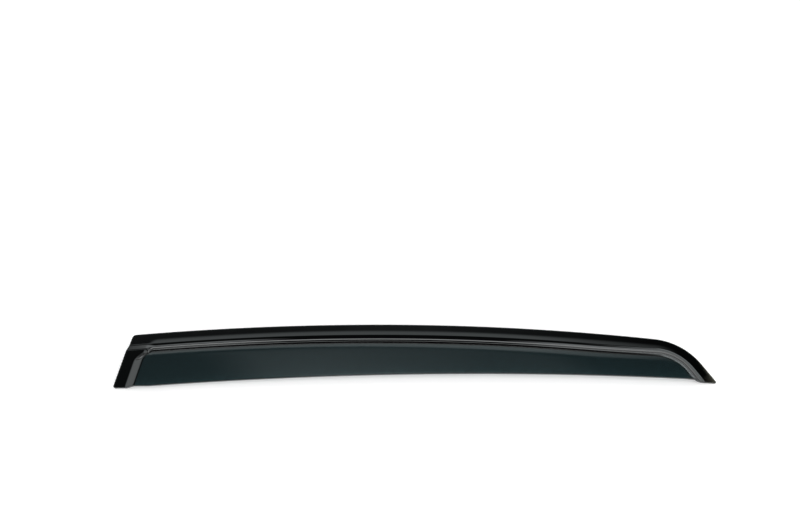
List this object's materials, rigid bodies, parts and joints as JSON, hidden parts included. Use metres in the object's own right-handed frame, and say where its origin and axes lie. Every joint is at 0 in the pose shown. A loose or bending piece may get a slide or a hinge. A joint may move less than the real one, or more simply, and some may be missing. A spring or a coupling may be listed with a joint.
{
  "type": "window rain deflector",
  "caption": "Smoked acrylic rain deflector for a car's rear door window, with a stepped flange, a squared end and a curved nose, and filmed foam tape on its back.",
  "frame": {"origin": "centre of the footprint, on the plane that the part lies on with its outer face up", "axes": "+X along the window from the squared end to the curved nose, +Y up the window, +Z outwards from the glass"},
  "size_m": [0.7496, 0.089, 0.0154],
  "materials": {
    "acrylic": "high gloss, smoke tint, slightly clear",
    "foam_tape": "black acrylic foam",
    "release_film": "thin red film"
  },
  "bodies": {
    "root": {"visor": "acrylic", "top_tape": "foam_tape", "top_liner": "release_film", "end_tape": "foam_tape", "end_liner": "release_film"}
  },
  "joints": []
}
